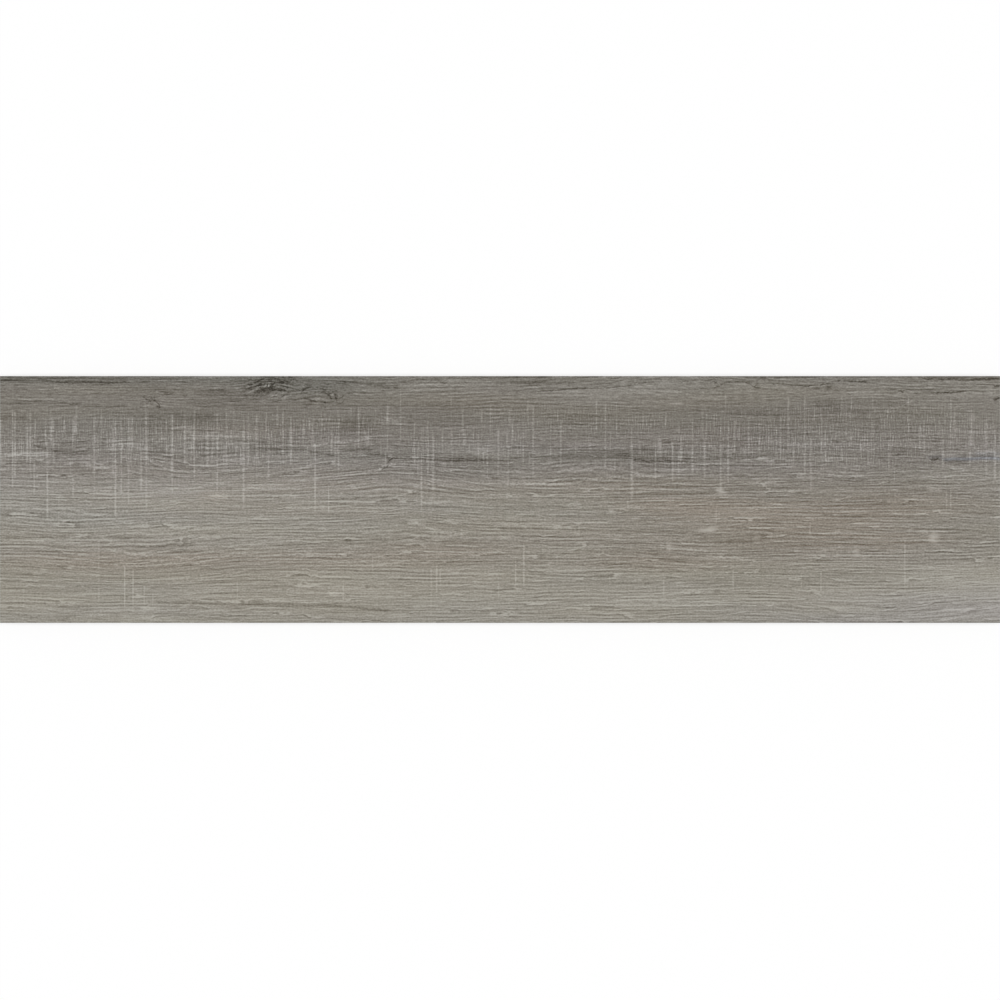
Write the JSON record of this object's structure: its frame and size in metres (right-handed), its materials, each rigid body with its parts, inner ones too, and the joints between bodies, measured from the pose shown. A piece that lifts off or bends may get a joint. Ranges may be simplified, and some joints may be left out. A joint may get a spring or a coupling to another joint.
{
  "type": "wood look porcelain plank tile",
  "caption": "Flat rectangular porcelain floor or wall plank with a weathered wood-grain printed face and a ribbed adhesive-keying back.",
  "frame": {"origin": "middle of the plank's underside, on the plane of the back ribs' crests", "axes": "+X along the plank's length and its grain, +Y across its width, +Z out of the decorated face"},
  "size_m": [0.6, 0.148, 0.009],
  "materials": {
    "fired_porcelain": "matt wood-grain print under a thin matt glaze on the face, bare fired porcelain on the ground sides and the ribbed back"
  },
  "bodies": {
    "root": {"plank_tile": "fired_porcelain"}
  },
  "joints": []
}
